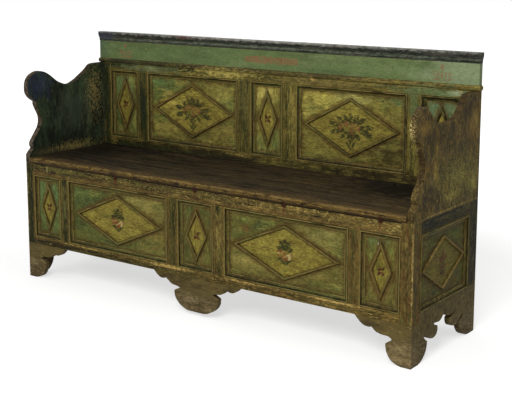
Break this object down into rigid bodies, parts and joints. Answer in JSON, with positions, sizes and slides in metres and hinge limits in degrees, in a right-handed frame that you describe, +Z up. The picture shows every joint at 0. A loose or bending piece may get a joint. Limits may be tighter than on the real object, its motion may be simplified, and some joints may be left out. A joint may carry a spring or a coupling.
{
  "type": "settle bench",
  "caption": "Panelled chest settle with a lifting seat lid, shaped plank arms, a panelled back with frieze and cornice, and scroll-cut feet.",
  "frame": {"origin": "middle of the footprint, on the floor", "axes": "+X along the bench to the sitter's left, +Y from the front face to the back, +Z up"},
  "size_m": [1.812, 0.476, 0.9987],
  "materials": {
    "frame_paint": "worn green paint over pine, satin",
    "panel_paint": "worn green and ochre paint over pine, satin",
    "frieze_paint": "worn light green paint, matt",
    "cornice_paint": "dark slate paint, satin",
    "arm_paint": "dark worn paint over brown pine, satin",
    "foot_paint": "grey-brown worn paint, matt",
    "seat_wood": "very dark worn wood, satin",
    "bare_pine": "unpainted aged pine, matt",
    "iron": "forged iron, rusted"
  },
  "bodies": {
    "carcase": {"left_front_post": "frame_paint", "right_front_post": "frame_paint", "front_top_rail": "frame_paint", "front_bottom_rail": "frame_paint", "front_muntin_1": "frame_paint", "front_muntin_2": "frame_paint", "front_muntin_3": "frame_paint", "front_muntin_4": "frame_paint", "front_panel_1": "panel_paint", "front_panel_2": "panel_paint", "front_panel_3": "panel_paint", "front_panel_4": "panel_paint", "front_panel_5": "panel_paint", "front_nail_1": "iron", "front_nail_2": "iron", "front_nail_3": "iron", "front_nail_4": "iron", "left_front_bracket": "foot_paint", "right_front_bracket": "foot_paint", "centre_front_bracket": "foot_paint", "left_side_apron": "foot_paint", "right_side_apron": "foot_paint", "centre_foot_block": "bare_pine", "floor_cleat_front": "bare_pine", "floor_cleat_rear": "bare_pine", "floor_board": "bare_pine", "seat_ledger": "bare_pine", "lower_back_board": "bare_pine", "left_side_rear_stile": "frame_paint", "right_side_rear_stile": "frame_paint", "left_side_top_rail": "frame_paint", "right_side_top_rail": "frame_paint", "left_side_panel": "panel_paint", "right_side_panel": "panel_paint", "left_arm": "arm_paint", "right_arm": "arm_paint", "left_back_stile": "frame_paint", "right_back_stile": "frame_paint", "back_top_rail": "frame_paint", "back_bottom_rail": "frame_paint", "back_muntin_1": "frame_paint", "back_muntin_2": "frame_paint", "back_muntin_3": "frame_paint", "back_muntin_4": "frame_paint", "back_bead_rail": "frame_paint", "back_panel_1": "panel_paint", "back_panel_2": "panel_paint", "back_panel_3": "panel_paint", "back_panel_4": "panel_paint", "back_panel_5": "panel_paint", "back_frieze": "frieze_paint", "back_cornice": "cornice_paint", "rear_seat_board": "seat_wood", "left_hinge_fixed_leaf": "iron", "right_hinge_fixed_leaf": "iron"},
    "lid": {"seat_lid": "seat_wood", "left_lid_cleat": "bare_pine", "right_lid_cleat": "bare_pine", "left_hinge_moving_leaf": "iron", "right_hinge_moving_leaf": "iron"}
  },
  "joints": [
    {"name": "lid_hinge", "type": "hinge", "parent": "carcase", "child": "lid", "pos_m": [0, 0.16395, 0.5083], "axis": [-1, 0, 0], "range_deg": [0, 97]}
  ]
}
